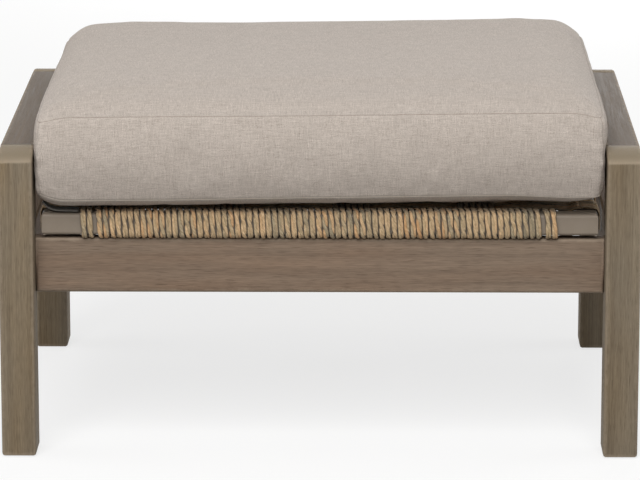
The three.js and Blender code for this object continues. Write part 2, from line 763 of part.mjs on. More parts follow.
const strapX = tubeHalf + tubeEndClearance / 2 + strapThickness / 2;
const strapY = tubeFrontY + tubeSize / 2;
for (const [side, name, hang] of [[-1, 'left', 0], [1, 'right', strapHang]]) {
  const strap = piece(`${name}_cushion_strap`, strapGeometry(hang), strapColour);
  strap.position.set(side * (strapX - strapLength + hang), strapY, cushionBottom - fit);
  strap.rotation.z = side < 0 ? Math.PI : 0;
  cushion.add(strap);
}
ottoman.add(cushion);

export default ottoman;
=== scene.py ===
import math

import bmesh
import bpy
import numpy as np
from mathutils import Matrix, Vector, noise


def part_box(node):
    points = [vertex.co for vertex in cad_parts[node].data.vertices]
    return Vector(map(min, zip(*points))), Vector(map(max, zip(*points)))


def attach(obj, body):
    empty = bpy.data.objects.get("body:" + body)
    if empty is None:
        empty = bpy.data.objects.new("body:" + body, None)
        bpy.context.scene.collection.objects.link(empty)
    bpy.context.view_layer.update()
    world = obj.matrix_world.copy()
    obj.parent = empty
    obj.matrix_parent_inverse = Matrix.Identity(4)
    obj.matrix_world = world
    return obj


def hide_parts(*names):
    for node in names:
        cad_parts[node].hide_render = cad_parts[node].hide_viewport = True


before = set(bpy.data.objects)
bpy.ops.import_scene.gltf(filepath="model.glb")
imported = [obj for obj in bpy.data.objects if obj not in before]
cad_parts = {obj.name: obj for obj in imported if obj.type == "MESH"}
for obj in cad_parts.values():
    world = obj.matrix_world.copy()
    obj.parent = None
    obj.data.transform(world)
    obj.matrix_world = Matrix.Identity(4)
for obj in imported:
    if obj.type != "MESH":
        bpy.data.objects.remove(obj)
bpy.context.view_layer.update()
print("frame loaded:", len(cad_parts), "nodes")

bpy.context.scene.view_settings.view_transform = "Standard"


# Camera: the photograph's place and angle, looking slightly down

view = {"place": (0.0479, -4.7551, 1.2864), "tilt": 77.083, "turn": 0.605, "lens": 224.5}


def makeCamera():
    rotation = (math.radians(view["tilt"]), 0, math.radians(view["turn"]))
    bpy.ops.object.camera_add(location=view["place"], rotation=rotation)
    camera = bpy.context.active_object
    camera.data.lens = view["lens"]
    camera.data.sensor_width = 36
    bpy.context.scene.camera = camera


makeCamera()


# Small helpers for nodes and meshes

def linear(color):
    # a colour as it looks on a screen, 0 to 255, in the shader's linear values
    parts = [value / 255 for value in color]
    return (*[part / 12.92 if part <= 0.04045 else ((part + 0.055) / 1.055) ** 2.4 for part in parts], 1.0)


def addNode(tree, kind, inputs, **settings):
    # an input is linked when its value is another node's socket, and set otherwise
    node = tree.nodes.new("ShaderNode" + kind)
    for name, value in settings.items():
        setattr(node, name, value)
    for name, value in inputs.items():
        if isinstance(value, bpy.types.NodeSocket):
            tree.links.new(value, node.inputs[name])
        else:
            node.inputs[name].default_value = value
    return node


def calculate(tree, operation, first, second=0.0, third=0.0, clamp=False):
    inputs = {0: first, 1: second, 2: third}
    return addNode(tree, "Math", inputs, operation=operation, use_clamp=clamp).outputs[0]


def times(tree, first, second, plus=None, clamp=False):
    if plus is None:
        return calculate(tree, "MULTIPLY", first, second, clamp=clamp)
    return calculate(tree, "MULTIPLY_ADD", first, second, plus, clamp)


def vectorMath(tree, operation, first, second=(0, 0, 0)):
    inputs = {0: first, 1: second}
    return addNode(tree, "VectorMath", inputs, operation=operation).outputs[0]


def separated(tree, vector):
    return addNode(tree, "SeparateXYZ", {0: vector}).outputs


def combined(tree, x=0.0, y=0.0, z=0.0):
    return addNode(tree, "CombineXYZ", {0: x, 1: y, 2: z}).outputs[0]


def clouds(tree, vector, factors=1.0, detail=2.0, roughness=0.5):
    # noise on a vector multiplied by one factor or by three
    if factors != 1.0:
        factors = factors if isinstance(factors, tuple) else (factors,) * 3
        vector = vectorMath(tree, "MULTIPLY", vector, factors)
    inputs = {"Vector": vector, "Scale": 1.0, "Detail": detail, "Roughness": roughness}
    return addNode(tree, "TexNoise", inputs).outputs["Fac"]


def ranged(tree, value, fromLow, fromHigh, toLow=0.0, toHigh=1.0):
    inputs = {"Value": value, "From Min": fromLow, "From Max": fromHigh, "To Min": toLow, "To Max": toHigh}
    return addNode(tree, "MapRange", inputs).outputs[0]


def blended(tree, factor, first, second, kind="MIX"):
    inputs = {0: factor, 6: first, 7: second}
    return addNode(tree, "Mix", inputs, data_type="RGBA", blend_type=kind).outputs[2]


def tinted(tree, color, mask, limits, shade):
    # a screen colour laid over another where a mask is in its limits
    return blended(tree, ranged(tree, mask, *limits), color, linear(shade))


def newGroup(name, inputs, outputs):
    group = bpy.data.node_groups.new(name, "ShaderNodeTree")
    for direction, sockets in (("INPUT", inputs), ("OUTPUT", outputs)):
        for socketName, kind in sockets.items():
            group.interface.new_socket(socketName, in_out=direction, socket_type="NodeSocket" + kind)
    return group, group.nodes.new("NodeGroupInput").outputs, group.nodes.new("NodeGroupOutput").inputs


def closeGroup(tree, end, **outputs):
    for name, socket in outputs.items():
        tree.links.new(socket, end[name])
    return tree


def useGroup(tree, group, inputs):
    return addNode(tree, "Group", inputs, node_tree=group).outputs


def newMaterial(name, color, roughness, sockets={}):
    material = bpy.data.materials.new(name)
    material.use_nodes = True
    shader = material.node_tree.nodes["Principled BSDF"]
    shader.inputs["Base Color"].default_value = linear(color)
    shader.inputs["Roughness"].default_value = roughness
    for socketName, value in sockets.items():
        shader.inputs[socketName].default_value = value
    return material, material.node_tree, shader


def wire(tree, shader, color=None, roughness=None, height=None, strength=1.0, distance=0.001):
    if color is not None:
        tree.links.new(color, shader.inputs["Base Color"])
    if roughness is not None:
        tree.links.new(roughness, shader.inputs["Roughness"])
    if height is not None:
        inputs = {"Height": height, "Strength": strength, "Distance": distance}
        bump = addNode(tree, "Bump", inputs)
        tree.links.new(bump.outputs[0], shader.inputs["Normal"])


def coordinates(tree, kind="Object"):
    return tree.nodes.new("ShaderNodeTexCoord").outputs[kind]


def meshPiece(name, vertices, faces, uvs=None):
    mesh = bpy.data.meshes.new(name)
    mesh.from_pydata([tuple(v) for v in vertices], [], faces)
    if uvs is not None:
        layer = mesh.uv_layers.new(name="UVMap")
        layer.data.foreach_set("uv", np.asarray(uvs, np.float32).ravel())
    mesh.update()
    piece = bpy.data.objects.new(name, mesh)
    bpy.context.scene.collection.objects.link(piece)
    shadeSmooth(mesh)
    return piece


def vertexData(mesh, kind="co"):
    values = np.zeros(len(mesh.vertices) * 3)
    mesh.vertices.foreach_get(kind, values)
    return values.reshape(-1, 3)


def moveVertices(mesh, places):
    mesh.vertices.foreach_set("co", places.ravel())
    mesh.update()


def shadeSmooth(mesh):
    mesh.polygons.foreach_set("use_smooth", [True] * len(mesh.polygons))


def made(operator, **settings):
    # the object that an operator adds, with nothing else selected
    bpy.ops.object.select_all(action="DESELECT")
    operator(**settings)
    return bpy.context.active_object


def activate(piece):
    bpy.ops.object.select_all(action="DESELECT")
    piece.select_set(True)
    bpy.context.view_layer.objects.active = piece


def thicken(piece, thickness):
    wall = piece.modifiers.new("thicken", "SOLIDIFY")
    wall.thickness = thickness
    wall.offset = 0
    activate(piece)
    bpy.ops.object.modifier_apply(modifier="thicken")


def dress(piece, material, body):
    piece.data.materials.clear()
    piece.data.materials.append(material)
    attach(piece, body)


def clamped(value):
    return min(1.0, max(0.0, value))


def unit(vectors):
    return vectors / np.maximum(np.linalg.norm(vectors, axis=-1, keepdims=True), 1e-12)


# Shared effects

def makeWoodGrain():
    # the vector runs along the grain in x, in metres
    tree, start, end = newGroup(
        "woodGrain",
        {"Vector": "Vector", "Light": "Color", "Dark": "Color", "Warm": "Color", "Contrast": "Float"},
        {"Color": "Color", "Height": "Float", "Roughness": "Float"},
    )
    drift = clouds(tree, start["Vector"], (2.2, 14, 14), 2)
    push = vectorMath(tree, "MULTIPLY", combined(tree, 0.0, drift, drift), (0, 0.014, 0.014))
    bent = vectorMath(tree, "ADD", start["Vector"], push)
    bands = clouds(tree, bent, (1.5, 85, 85), 3, 0.55)
    streaks = clouds(tree, bent, (10, 560, 560), 3, 0.6)
    dashes = clouds(tree, start["Vector"], (62, 1400, 1400), 2, 0.6)
    pores = clouds(tree, start["Vector"], (52, 1900, 1900), 1)
    pore = ranged(tree, pores, 0.6, 0.7)
    tone = times(tree, bands, 0.8, -0.4)
    for fine, share in ((streaks, 1.1), (dashes, 0.9)):
        tone = times(tree, calculate(tree, "SUBTRACT", fine, 0.5), share, tone)
    tone = times(tree, tone, start["Contrast"], 0.5, clamp=True)
    color = blended(tree, tone, start["Dark"], start["Light"])
    areas = clouds(tree, start["Vector"], (3.5, 22, 22), 2)
    color = blended(tree, ranged(tree, areas, 0.42, 0.68, 0.0, 0.6), color, start["Warm"], "MULTIPLY")
    darkened = blended(tree, 1.0, color, (0.52, 0.49, 0.46, 1), "MULTIPLY")
    color = blended(tree, times(tree, pore, 0.75), color, darkened)
    height = times(tree, streaks, 0.6, times(tree, dashes, 0.5))
    height = times(tree, pore, -0.7, height)
    return closeGroup(tree, end, Color=color, Height=height, Roughness=ranged(tree, streaks, 0.3, 0.7, 0.62, 0.82))


def makeEdgeWear():
    # 1 on the long edges of a block, 0 inside its faces
    inputs = {"Vector": "Vector", "Centre": "Vector", "Half": "Vector", "Width": "Float"}
    tree, start, end = newGroup("edgeWearAndHighlight", inputs, {"Mask": "Float"})
    away = vectorMath(tree, "ABSOLUTE", vectorMath(tree, "SUBTRACT", start["Vector"], start["Centre"]))
    x, y, z = separated(tree, vectorMath(tree, "SUBTRACT", start["Half"], away))
    low = calculate(tree, "MINIMUM", x, y)
    high = calculate(tree, "MAXIMUM", x, y)
    middle = calculate(tree, "MAXIMUM", low, calculate(tree, "MINIMUM", high, z))
    near = calculate(tree, "DIVIDE", middle, start["Width"])
    rough = clouds(tree, start["Vector"], 90, 3, 0.7)
    near = calculate(tree, "ADD", near, ranged(tree, rough, 0.3, 0.7, -0.35, 0.35))
    return closeGroup(tree, end, Mask=ranged(tree, near, 0.25, 1.0, 1.0, 0.0))


def makeWeave():
    # plain weave of slightly uneven threads, on a vector in metres
    inputs, outputs = {"Vector": "Vector", "Spacing": "Float"}, {"Tone": "Float", "Height": "Float"}
    tree, start, end = newGroup("weave", inputs, outputs)
    inputs = {0: start["Vector"], "Scale": calculate(tree, "DIVIDE", 1.0, start["Spacing"])}
    scaled = addNode(tree, "VectorMath", inputs, operation="SCALE").outputs[0]
    cellX, cellY = separated(tree, vectorMath(tree, "FLOOR", scaled))[:2]
    partX, partY = separated(tree, vectorMath(tree, "FRACTION", scaled))[:2]
    roundX, roundY = [calculate(tree, "SINE", times(tree, part, math.pi)) for part in (partX, partY)]
    over = calculate(tree, "FLOORED_MODULO", calculate(tree, "ADD", cellX, cellY), 2.0)
    warpHeight = times(tree, roundX, calculate(tree, "POWER", roundY, 0.35))
    weftHeight = times(tree, roundY, calculate(tree, "POWER", roundX, 0.35))
    height = addNode(tree, "Mix", {0: over, 2: warpHeight, 3: weftHeight}).outputs[0]
    x, y = separated(tree, scaled)[:2]
    alongWarp = combined(tree, times(tree, cellX, 7.31), times(tree, y, 0.06))
    alongWeft = combined(tree, times(tree, x, 0.06), times(tree, cellY, 5.17), 40.0)
    warpTone = clouds(tree, alongWarp, detail=1)
    weftTone = clouds(tree, alongWeft, detail=1)
    tone = addNode(tree, "Mix", {0: over, 2: warpTone, 3: weftTone}).outputs[0]
    fleck = clouds(tree, scaled, 0.55, 2, 0.7)
    tone = times(tree, fleck, 0.5, times(tree, tone, 0.6))
    return closeGroup(tree, end, Tone=tone, Height=height)


woodGrain = makeWoodGrain()
edgeWearAndHighlight = makeEdgeWear()
weave = makeWeave()


# Timber: weathered hardwood, brushed along the grain, paler where hands and feet rub the edges and where a highlight is
# painted along them, with a painted highlight on the legs' rounded front-top edges

timber = {
    "legs": {"light": (147, 134, 114), "dark": (97, 85, 69), "warm": (255, 240, 212)},
    "aprons": {"light": (146, 127, 109), "dark": (104, 88, 74), "warm": (255, 236, 222)},
    "arms": {"light": (107, 95, 83), "dark": (78, 68, 58), "warm": (246, 240, 230)},
    # paler colour for the edges: rubbed wear and a painted highlight
    "rubbedAndHighlit": (156, 141, 122),
    # painted highlight colour for faces that turn upward
    "topEdgeHighlight": (160, 145, 124),
    "endGrain": (124, 112, 93),
    "edgeWidth": 0.0045,
    "bump": 0.35,
}
alongGrain = {"x": (0, 0, 0), "y": (0, 0, math.radians(-90)), "z": (0, math.radians(90), 0)}


def timberMaterial(node, palette, direction, number):
    material, tree, shader = newMaterial("timber_" + node, palette["light"], 0.75, {"Specular IOR Level": 0.35})
    place = coordinates(tree)
    shift = (0.41 * number, 0.73 * number, 0.29 * number)
    inputs = {"Vector": place, "Location": shift, "Rotation": alongGrain[direction]}
    mapped = addNode(tree, "Mapping", inputs)
    shades = {name.capitalize(): linear(shade) for name, shade in palette.items()}
    grain = useGroup(tree, woodGrain, {"Vector": mapped.outputs[0], "Contrast": 1.0, **shades})
    low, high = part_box(node)
    wear = useGroup(tree, edgeWearAndHighlight, {
        "Vector": place, "Centre": (low + high) / 2, "Half": (high - low) / 2, "Width": timber["edgeWidth"],
    })
    # paler edges: partly rubbed wear, partly a painted highlight along every long edge of the block
    wearAndHighlight = times(tree, wear["Mask"], 0.5)
    color = grain["Color"]
    if direction == "z":
        upward = separated(tree, coordinates(tree, "Normal"))[2]
        # painted highlight: faces turning upward, most of all the legs' rounded front-top edge, are made paler; on the
        # flat tops end grain is laid over it
        color = tinted(tree, color, upward, (0.15, 0.45, 0.0, 0.6), timber["topEdgeHighlight"])
        color = tinted(tree, color, upward, (0.55, 0.92, 0.0, 0.8), timber["endGrain"])
    color = blended(tree, wearAndHighlight, color, linear(timber["rubbedAndHighlit"]))
    wire(tree, shader, color, grain["Roughness"], grain["Height"], timber["bump"], 0.0006)
    return material


def finishNode(node, material):
    # a CAD node is loose triangles, so they are joined and shaded by their area
    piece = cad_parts[node]
    piece.data.materials.clear()
    piece.data.materials.append(material)
    shadeSmooth(piece.data)
    piece.modifiers.new("join", "WELD").merge_threshold = 0.00001
    piece.modifiers.new("shade", "WEIGHTED_NORMAL").weight = 80


def finishTimber():
    pieces = []
    for end in ("front", "rear"):
        pieces += [(f"{end}_left_leg", "legs", "z"), (f"{end}_right_leg", "legs", "z"), (f"{end}_apron", "aprons", "x")]
    for side in ("left", "right"):
        pieces += [(f"{side}_side_rail", "aprons", "y"), (f"{side}_arm_rail", "arms", "y")]
    for number, (node, palette, direction) in enumerate(pieces, 1):
        finishNode(node, timberMaterial(node, timber[palette], direction, number))


finishTimber()
print("timber finished")


# Seat frame, plates, screws, glides

metal = {
    "powderCoat": {
        "color": (137, 125, 111), "second": (148, 137, 124), "specks": (96, 87, 77), "roughness": 0.55,
        "areas": (30, 4, 0.6), "show": (0.45, 0.75, 0.0, 0.5), "rough": (0.4, 0.7, 0.5, 0.66),
        "relief": (700, 2, 0.5), "bump": (0.25, 0.0003), "sockets": {"Specular IOR Level": 0.35},
    },
    "zincSteel": {
        "color": (150, 150, 148), "second": (112, 112, 108), "roughness": 0.4,
        "areas": (260, 3, 0.6), "show": (0.35, 0.65, 0.0, 0.45), "rough": (0.3, 0.7, 0.32, 0.52),
        "relief": ((60, 60, 1400), 2, 0.6), "bump": (0.2, 0.0002), "sockets": {"Metallic": 0.9},
    },
    "glidePlastic": {
        "color": (52, 49, 46), "second": (96, 92, 86), "roughness": 0.5,
        "areas": ((120, 900, 120), 3, 0.7), "show": (0.55, 0.75, 0.0, 0.5), "rough": (0.4, 0.7, 0.42, 0.62),
        "relief": (900, 2, 0.5), "bump": (0.3, 0.0002), "sockets": {},
    },
}


def hardMaterial(name):
    # areas of a second colour and another roughness, on a fine relief
    look = metal[name]
    material, tree, shader = newMaterial(name, look["color"], look["roughness"], look["sockets"])
    place = coordinates(tree)
    areas = clouds(tree, place, *look["areas"])
    color = tinted(tree, linear(look["color"]), areas, look["show"], look["second"])
    if "specks" in look:
        color = tinted(tree, color, clouds(tree, place, 2600, 1), (0.35, 0.65, 0.0, 0.12), look["specks"])
    relief = clouds(tree, place, *look["relief"])
    wire(tree, shader, color, ranged(tree, areas, *look["rough"]), relief, *look["bump"])
    return material


coat = hardMaterial("powderCoat")
steel = hardMaterial("zincSteel")
glide = hardMaterial("glidePlastic")


def finishMetal():
    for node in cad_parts:
        if node.endswith(("seat_tube", "seat_tab")):
            finishNode(node, coat)
        elif node.endswith(("corner_bracket", "screw")):
            finishNode(node, steel)
        elif node.endswith("foot_glide"):
            finishNode(node, glide)


finishMetal()


def spotsAlong(start, stop, step):
    # places from one point to another, a step apart
    start, stop = np.array(start), np.array(stop)
    count = max(2, int(round(np.linalg.norm(stop - start) / step)) + 1)
    return [start + (stop - start) * i / (count - 1) for i in range(count)]


def copiesOf(source, name, places):
    # one mesh with a copy of the source at each place, which is an origin and three directions
    vertices = np.array([v.co for v in source.data.vertices])
    polygons = [list(p.vertices) for p in source.data.polygons]
    allVertices, allFaces = [], []
    for origin, axes in places:
        base = len(allVertices) * len(vertices)
        allVertices.append(vertices @ np.array(axes) + np.array(origin))
        allFaces.extend([[base + i for i in polygon] for polygon in polygons])
    bpy.data.objects.remove(source)
    return meshPiece(name, np.concatenate(allVertices), allFaces)


beads = {"step": 0.0021, "radius": 0.0016, "rise": 0.0002, "inset": 0.0012, "cornerRoom": 0.003}


def weldBeads():
    # ripples of weld metal along the mitre lines of the four tube corners
    ripple = made(bpy.ops.mesh.primitive_ico_sphere_add, subdivisions=2, radius=beads["radius"])
    low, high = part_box("front_seat_tube")
    size = high.z - low.z
    half = (high.x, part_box("rear_seat_tube")[1].y)
    flat = np.diag((1.0, 1.0, 0.45))
    places = []
    for sideX in (-1, 1):
        for sideY in (-1, 1):
            outer = np.array((sideX * half[0], sideY * half[1], 0))
            inner = outer - np.array((sideX * size, sideY * size, 0))
            edge = np.array((sideX, sideY, 0)) * beads["inset"]
            for level, sink in ((high.z, -1), (low.z, 1)):
                lift = np.array((0, 0, level - sink * beads["rise"]))
                spots = spotsAlong(outer - 2.2 * edge + lift, inner + 2.2 * edge + lift, beads["step"])
                places += [(spot, flat) for spot in spots]
            foot, head = low.z + beads["cornerRoom"], high.z - beads["cornerRoom"]
            spots = spotsAlong(outer - edge + (0, 0, foot), outer - edge + (0, 0, head), beads["step"])
            places += [(spot, np.diag((0.8, 0.8, 1.0))) for spot in spots]
    dress(copiesOf(ripple, "weld_beads", places), coat, "frame")


weldBeads()
print("seat frame finished")


# Twisted cord: two plies laid round each other, flattened where they press on something

cord = {
    "halfWidth": 0.0033, "plyHalf": 0.00195, "twistShort": 0.030, "twistLong": 0.072,
    "shades": ((134, 125, 104), (162, 149, 123), (192, 168, 132), (222, 188, 145), (218, 174, 126), (208, 156, 106)),
    "wander": 0.00022, "color": (170, 144, 108), "olive": (140, 133, 112), "fibreDark": (84, 62, 38),
    # the valley colour is painted shade between the plies
    "fibreLight": (244, 222, 184), "valleyShade": (52, 36, 20),
}


def cordMaterial():
    sockets = {"Specular IOR Level": 0.3, "Sheen Weight": 0.15}
    material, tree, shader = newMaterial("twistedCord", cord["color"], 0.8, sockets)
    uv = coordinates(tree, "UV")
    slow = clouds(tree, uv, (1.4, 0, 0), 1, 0.5)
    quick = times(tree, clouds(tree, uv, (7.5, 0, 0), 2, 0.6), 0.4)
    stretch = times(tree, slow, 0.6, quick)
    second = clouds(tree, uv, (3.1, 0, 0), 2, 0.6)
    ramp = addNode(tree, "ValToRGB", {"Fac": ranged(tree, stretch, 0.35, 0.65)})
    elements, shades = ramp.color_ramp.elements, cord["shades"]
    for number in range(1, len(shades) - 1):
        elements.new(number / (len(shades) - 1))
    for element, shade in zip(elements, shades):
        element.color = linear(shade)
    color = tinted(tree, ramp.outputs[0], second, (0.52, 0.74, 0.0, 0.5), cord["olive"])
    u, v = separated(tree, uv)[:2]
    lay = times(tree, u, 42.0, v)
    fibreVector = combined(tree, times(tree, u, 170.0), times(tree, lay, 13.0))
    fibres = clouds(tree, fibreVector, detail=3, roughness=0.65)
    fine = clouds(tree, fibreVector, (1.5, 3, 1), 2, 0.6)
    tone = times(tree, fine, 0.5, times(tree, fibres, 0.7))
    color = tinted(tree, color, tone, (0.42, 0.72, 0.6, 0.0), cord["fibreDark"])
    color = tinted(tree, color, tone, (0.6, 0.82, 0.0, 0.6), cord["fibreLight"])
    # painted shade: the sides of each ply, turned away from its outward face, are darkened where the plies lie against
    # each other
    around = calculate(tree, "FRACT", calculate(tree, "ADD", v, 0.25))
    aside = calculate(tree, "ABSOLUTE", calculate(tree, "SUBTRACT", around, 0.5))
    color = tinted(tree, color, aside, (0.12, 0.24, 0.0, 0.96), cord["valleyShade"])
    wire(tree, shader, color, None, tone, 0.9, 0.0006)
    return material


def twistedCord(path, outward, thickness, seed, sides, start=0.0):
    # path is the middle of the cord, outward the side that faces away from what it lies on
    # the two plies share a twist that is tighter in some places than in others
    path, outward = np.asarray(path, float), np.asarray(outward, float)
    steps = np.linalg.norm(np.diff(path, axis=0), axis=1)
    length = np.concatenate([[0.0], np.cumsum(steps)])
    tangent = unit(np.gradient(path, axis=0))
    outward = unit(outward - tangent * np.sum(outward * tangent, axis=1, keepdims=True))
    lateral = np.cross(outward, tangent)
    rate = np.array([noise.noise((seed, s * 9.0, 3.3)) for s in length]) * 1.6 + 0.5
    pitch = cord["twistShort"] + (cord["twistLong"] - cord["twistShort"]) * np.clip(rate, 0, 1)
    turn = np.concatenate([[0.0], np.cumsum(2 * math.pi * steps / pitch[1:])]) + seed
    vertices, faces, uvs = [], [], []
    angles = 2 * math.pi * np.arange(sides) / sides
    for ply in (0, 1):
        phase = -turn + ply * math.pi
        stacked = np.abs(np.sin(phase))
        plyWidth = cord["plyHalf"] * (0.9 + 0.42 * stacked)
        plyThick = thickness * (0.4 - 0.06 * stacked)
        wander = np.array([noise.noise((seed + 5 * ply, s * 140.0, 1.1)) for s in length]) * cord["wander"]
        middle = (
            path
            + lateral * ((cord["halfWidth"] - cord["plyHalf"] * 0.9) * np.cos(phase) + wander)[:, None]
            + outward * ((thickness / 2 - plyThick) * np.sin(phase))[:, None]
        )
        base = len(vertices)
        for i in range(len(path)):
            ring = (
                middle[i]
                + np.outer(np.cos(angles) * plyWidth[i], lateral[i])
                + np.outer(np.sin(angles) * plyThick[i], outward[i])
            )
            vertices.extend(ring)
        for i in range(len(path) - 1):
            u0, u1 = start + length[i] + ply * 7.7, start + length[i + 1] + ply * 7.7
            for k in range(sides):
                a, b = base + i * sides + k, base + i * sides + (k + 1) % sides
                faces.append((a, b, b + sides, a + sides))
                uvs.extend([(u0, k / sides), (u0, (k + 1) / sides), (u1, (k + 1) / sides), (u1, k / sides)])
        for first, order in ((base, range(sides - 1, -1, -1)), (base + (len(path) - 1) * sides, range(sides))):
            faces.append(tuple(first + k for k in order))
            uvs.extend([(start, k / sides) for k in order])
    return vertices, faces, uvs


def joinCords(parts, name):
    vertices, faces, uvs = [], [], []
    for partVertices, partFaces, partUvs in parts:
        base = len(vertices)
        vertices.extend(partVertices)
        faces.extend([tuple(base + i for i in face) for face in partFaces])
        uvs.extend(partUvs)
    return meshPiece(name, vertices, faces, uvs)


cordFinish = cordMaterial()


# Winding: one cord, 75 turns round the front tube, with a pair set apart at each end

winding = {
    "turns": 75, "pairTurns": 2, "pairGap": 0.004, "pitch": 0.00724, "stepsPerTurn": 40, "sides": 8,
    "clearance": 0.0002, "flat": 0.0034, "full": 0.0051, "tubeCorner": 0.004,
    "restless": 0.00035, "uneven": 0.0006,
}


def frontTube():
    low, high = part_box("front_seat_tube")
    return low, high, (high.z - low.z) / 2


def roundTube(share, offset, half):
    # a point on the rounded square round a tube, from the top of its front face down and round
    corner = winding["tubeCorner"]
    straight = 2 * (half - corner)
    radius = corner + offset
    side = straight + radius * math.pi / 2
    place = (share % 1.0) * 4 * side
    quarter, rest = divmod(place, side)
    if rest <= straight:
        point, direction = (half + offset, half - corner - rest), (1.0, 0.0)
    else:
        angle = (rest - straight) / radius
        direction = (math.cos(angle), -math.sin(angle))
        point = (half - corner + radius * direction[0], -(half - corner) + radius * direction[1])
    for _ in range(int(quarter)):
        point, direction = (point[1], -point[0]), (direction[1], -direction[0])
    return point, direction


def windFrontTube():
    low, high, half = frontTube()
    middleY, middleZ = low.y + half, low.z + half
    startShare, endShare = -0.25, winding["turns"] - 0.375
    count = int((endShare - startShare) * winding["stepsPerTurn"])
    gapStarts = (winding["pairTurns"], winding["turns"] - winding["pairTurns"])
    path, outward, thickness = [], [], []
    for i in range(count + 1):
        share = startShare + (endShare - startShare) * i / count
        x = (share - (startShare + endShare) / 2) * winding["pitch"] - winding["pairGap"]
        for gapStart in gapStarts:
            x += winding["pairGap"] * clamped((share - gapStart + 0.75) / 0.75)
        x += winding["restless"] * noise.noise((7.7, share * 2.3, 0.4))
        _, direction = roundTube(share, 0.0, half)
        front = max(0.0, direction[0]) ** 0.7
        bulge = winding["full"] + winding["uneven"] * noise.noise((1.9, share * 3.7, 2.2))
        thick = winding["flat"] + (bulge - winding["flat"]) * front
        point, direction = roundTube(share, winding["clearance"] + thick / 2, half)
        path.append((x, middleY - point[0], middleZ + point[1]))
        outward.append((0, -direction[0], direction[1]))
        thickness.append(thick)
    piece = joinCords([twistedCord(path, outward, np.array(thickness), 1.7, winding["sides"])], "front_winding")
    dress(piece, cordFinish, "frame")
    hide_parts("front_cord_winding")


windFrontTube()
print("winding made")


# Seat net: bands of cords, woven over and under each other and hooked round the tubes

net = {
    "warps": 8, "wefts": 6, "cordsInBand": 6, "bareTube": 0.0465, "behindTube": 0.004,
    "margin": -0.0002, "ride": 0.0014, "sag": 0.0028, "clearance": 0.0002, "thickness": 0.0034,
    "settle": 0.006, "step": 0.005, "sides": 6, "beside": 0.276, "drawn": 0.0036, "drawnOver": 0.007,
    "easing": 0.003,
    "warp": (2.3, 0.37, 20, 1.3, 0.29), "weft": (14.3, 0.41, 40, 1.7, 0.31),
}


def hookPath(half, middleZ, reach):
    # down the outer side of a tube and back under it to its middle
    points = []
    for share in np.linspace(0, 1, 15):
        place = 0.75 + share * 0.62 - 0.02
        point, direction = roundTube(place, net["thickness"] / 2 + reach, half)
        points.append((point[0], middleZ + point[1], direction[0], direction[1]))
    return points


def weaveLevel(spot, crossings, firstOver, halfBand):
    # 1 over a crossing band, -1 under it, and a smooth change between two bands
    place = np.interp(spot, crossings, range(len(crossings)))
    index = int(min(place, len(crossings) - 2))
    gap = crossings[index + 1] - crossings[index]
    share = np.clip(((spot - crossings[index]) - halfBand) / (gap - 2 * halfBand), 0, 1)
    sign = 1 if (index % 2 == 0) == firstOver else -1
    # beyond the outer bands it eases back to the middle
    past = max(0.0, crossings[0] - spot, spot - crossings[-1])
    return sign * math.cos(math.pi * share) * max(0.0, 1 - past / (halfBand + net["easing"]))


def bandPath(start, stop, crossings, firstOver, hooks, half, tubeTop):
    # distance along the band, height and outward direction, with hooks round the tubes at its ends
    level = tubeTop + net["clearance"] + net["thickness"] / 2
    halfBand = net["cordsInBand"] * winding["pitch"] / 2
    path = []
    for spot in np.arange(start, stop, net["step"]):
        settled = clamped((stop - half - spot) / net["settle"])
        if hooks == "both":
            settled = min(settled, clamped((spot - start - half) / net["settle"]))
        rise = net["ride"] * weaveLevel(spot, crossings, firstOver, halfBand) - net["sag"]
        path.append((spot, level + settled * rise, 0.0, 1.0))
    hook = hookPath(half, tubeTop - half, net["clearance"])
    path += [(stop + along, *rest) for along, *rest in hook]
    if hooks == "both":
        path = [(start - p[0], p[1], -p[2], p[3]) for p in reversed(hook)] + path
    return path


def layBand(kind, number, band, place):
    # the cords of one band side by side; a warp runs in y, a weft in x
    # each cord has a seed of its own and starts at its own place in the cord's colours
    firstSeed, seedStep, firstStart, bandStep, cordStep = net[kind]
    cords = []
    for k in range(net["cordsInBand"]):
        side = place + (k - (net["cordsInBand"] - 1) / 2) * winding["pitch"]
        if kind == "warp":
            path, outward = [(side, a, h) for a, h, _, _ in band], [(0, p, q) for _, _, p, q in band]
        else:
            # beside the winding the first weft lies against the bare tube
            drawn = net["drawn"] if number == 0 else 0.0
            shares = [clamped((abs(a) - net["beside"]) / net["drawnOver"]) for a, _, _, _ in band]
            path = [(a, side - drawn * share, h) for (a, h, _, _), share in zip(band, shares)]
            outward = [(p, 0, q) for _, _, p, q in band]
        seed = firstSeed + number + seedStep * k
        start = firstStart + number * bandStep + cordStep * k
        cords.append(twistedCord(path, outward, np.full(len(path), net["thickness"]), seed, net["sides"], start))
    return cords


def weaveSeat():
    low, high, half = frontTube()
    tubeX, tubeY = high.x - half, -(low.y + half)
    bandWidth = net["cordsInBand"] * winding["pitch"]
    warpSpan = 2 * (high.x - net["bareTube"]) - bandWidth
    warpPlaces = [warpSpan * (i / (net["warps"] - 1) - 0.5) for i in range(net["warps"])]
    start = high.y + net["behindTube"]
    first = start + net["margin"] + bandWidth / 2
    last = -high.y - net["margin"] - bandWidth / 2
    weftPlaces = [first + (last - first) * i / (net["wefts"] - 1) for i in range(net["wefts"])]
    warps, wefts = [], []
    for i, x in enumerate(warpPlaces):
        band = bandPath(start, tubeY, weftPlaces, i % 2 == 0, "end", half, high.z)
        warps += layBand("warp", i, band, x)
    for j, y in enumerate(weftPlaces):
        band = bandPath(-tubeX, tubeX, warpPlaces, j % 2 == 1, "both", half, high.z)
        wefts += layBand("weft", j, band, y)
    for name, cords in (("seat_warps", warps), ("seat_wefts", wefts)):
        piece = joinCords(cords, name)
        dress(piece, cordFinish, "frame")
        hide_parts("cord_seat")


weaveSeat()
print("seat net woven")


# Cushion: a box of six panels, sewn at their edges, soft at the shoulders

